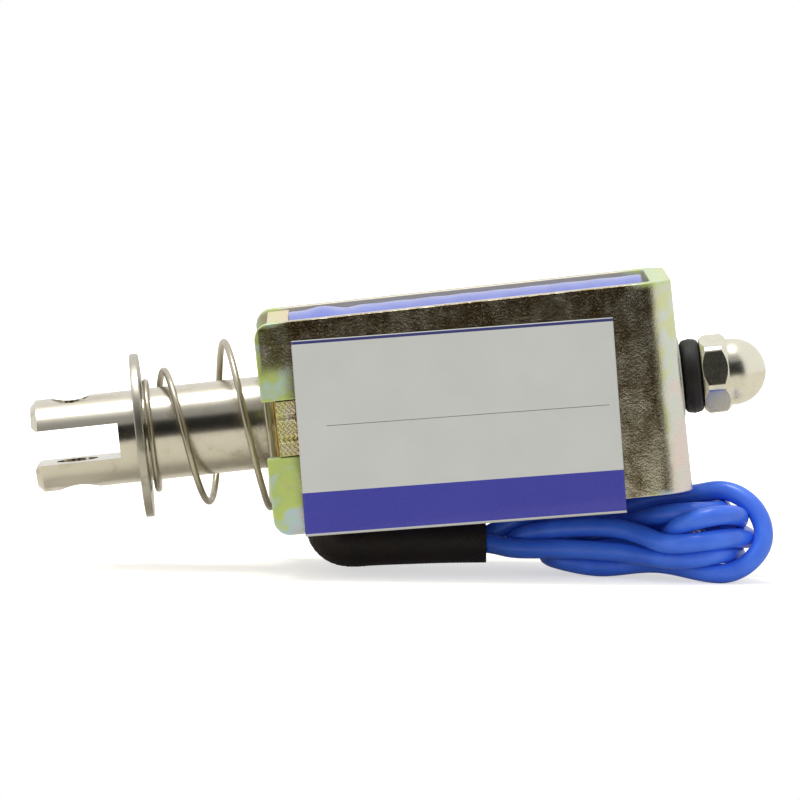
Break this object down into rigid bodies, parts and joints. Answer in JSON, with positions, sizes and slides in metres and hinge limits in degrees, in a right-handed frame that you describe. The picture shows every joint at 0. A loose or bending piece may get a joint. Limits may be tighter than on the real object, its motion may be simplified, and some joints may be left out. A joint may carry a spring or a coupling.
{
  "type": "push pull solenoid",
  "caption": "Open-frame push-pull solenoid with a forked plunger, conical return spring, push rod with domed nut and blue leads folded in a hank.",
  "frame": {"origin": "midway between the two mounting holes, on the outer face of the frame's back arm", "axes": "+X along the plunger towards the domed nut, +Y out of the back arm, +Z across the frame's strip"},
  "size_m": [0.0717, 0.0256, 0.0304],
  "materials": {
    "zinc_steel": "zinc plated, yellow iridescent",
    "zinc_plate": "zinc plated, yellow iridescent",
    "core_steel": "machined, plated",
    "brass_tube": "drawn",
    "bobbin_nylon": "moulded",
    "copper_wire": "enamelled",
    "blue_tape": "polyester film",
    "label_paper": "bare, with plain lines and a blue band",
    "spring_steel": "drawn wire",
    "sleeve_dark": "varnished sleeving",
    "solder": "soft solder",
    "lead_blue": "satin PVC",
    "plunger_nickel": "nickel plated, turned",
    "rod_steel": "drawn",
    "shim_brass": "punched",
    "ring_steel": "stamped spring steel",
    "bumper_rubber": "moulded",
    "nut_nickel": "nickel plated"
  },
  "bodies": {
    "frame_assembly": {"u_frame": "zinc_steel", "end_plate": "zinc_plate", "fixed_core": "core_steel", "guide_tube": "brass_tube", "bobbin": "bobbin_nylon", "coil_winding": "copper_wire", "coil_tape": "blue_tape", "label": "label_paper", "return_spring": "spring_steel", "lead_sleeve": "sleeve_dark", "lead_splices": "solder", "coil_tails": "copper_wire", "lead_wire_a": "lead_blue", "lead_wire_b": "lead_blue", "lead_hank": "lead_blue"},
    "spring_seat": {"retaining_ring": "ring_steel"},
    "plunger_assembly": {"plunger": "plunger_nickel", "push_rod": "rod_steel", "shim_washer": "shim_brass", "bumper_ring": "bumper_rubber", "cap_nut": "nut_nickel"}
  },
  "joints": [
    {"name": "plunger_slide", "type": "slide", "parent": "frame_assembly", "child": "spring_seat", "axis": [1, 0, 0], "range_m": [0, 0.01], "stiffness_N_per_m": 300, "springref_m": -0.003, "deforming": ["return_spring"]},
    {"name": "plunger_spin", "type": "hinge", "parent": "spring_seat", "child": "plunger_assembly", "pos_m": [-0.04285, -0.01275, 0], "axis": [1, 0, 0], "continuous": true}
  ]
}
